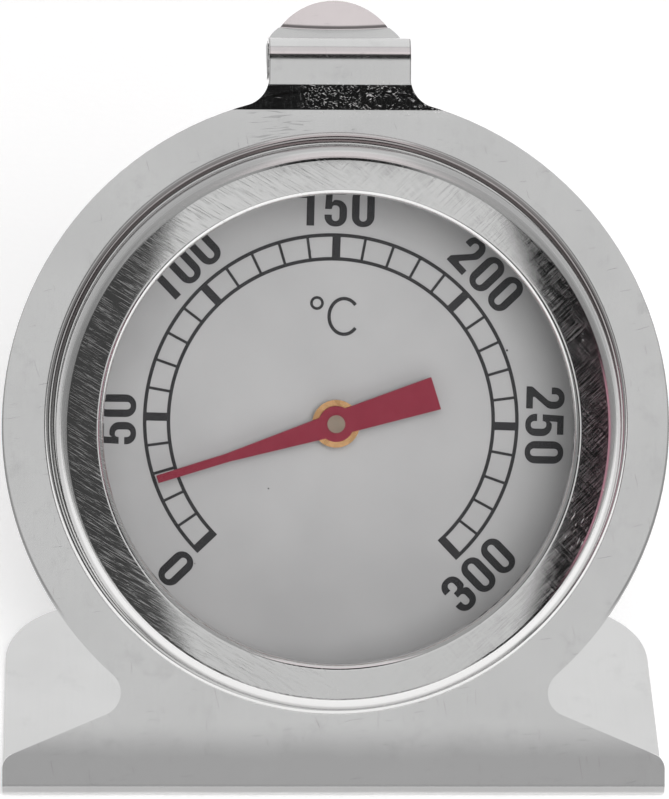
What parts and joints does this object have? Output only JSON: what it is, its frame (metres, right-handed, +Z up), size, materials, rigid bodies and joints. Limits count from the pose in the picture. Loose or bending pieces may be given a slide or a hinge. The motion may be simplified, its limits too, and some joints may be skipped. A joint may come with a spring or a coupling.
{
  "type": "oven thermometer",
  "caption": "Round dial oven thermometer on a bent sheet stand with a folded base and a rack hook at the top, with a bimetal coil turning the pointer.",
  "frame": {"origin": "middle of the footprint, on the flat underside of the base", "axes": "+Z up out of the base, +X to the right of someone reading the dial, the dial faces -Y and leans back 30 degrees"},
  "size_m": [0.06, 0.0514, 0.0587],
  "materials": {
    "stand_plate": "satin stainless sheet, lightly scuffed",
    "bezel_ring": "spun stainless, brushed cone with a bright rolled edge",
    "lens_glass": "clear flat glass",
    "lens_gasket": "dark heat-proof seal",
    "dial_spacer_ring": "plain mill finish",
    "dial_plate": "matt grey face with black print",
    "dial_bushing": "turned brass",
    "pointer": "dark red lacquer",
    "pointer_hub": "turned brass",
    "pointer_spindle": "turned, dull end",
    "spindle_clip": "spring steel",
    "coil_collar": "turned brass",
    "bimetal_coil": "rolled bimetal strip",
    "coil_rivet": "plain",
    "coil_anchor": "stamped",
    "movement_bridge": "stamped",
    "bridge_posts": "turned brass",
    "rear_bearing": "turned brass",
    "case_cup": "deep-drawn stainless",
    "case_retaining_ring": "stamped stainless"
  },
  "bodies": {
    "case_and_stand": {"stand_plate": "stand_plate", "bezel_ring": "bezel_ring", "lens_glass": "lens_glass", "lens_gasket": "lens_gasket", "dial_spacer_ring": "dial_spacer_ring", "dial_plate": "dial_plate", "dial_bushing": "dial_bushing", "bimetal_coil": "bimetal_coil", "coil_rivet": "coil_rivet", "coil_anchor": "coil_anchor", "movement_bridge": "movement_bridge", "bridge_posts": "bridge_posts", "rear_bearing": "rear_bearing", "case_cup": "case_cup", "case_retaining_ring": "case_retaining_ring"},
    "pointer_assembly": {"pointer": "pointer", "pointer_hub": "pointer_hub", "pointer_spindle": "pointer_spindle", "spindle_clip": "spindle_clip", "coil_collar": "coil_collar"}
  },
  "joints": [
    {"name": "pointer_turn", "type": "hinge", "parent": "case_and_stand", "child": "pointer_assembly", "pos_m": [0, 0.00193, 0.02973], "axis": [0, 0.866, -0.5], "range_deg": [-26, 245], "stiffness_Nm_per_rad": 0.0005, "deforming": ["bimetal_coil"]}
  ]
}
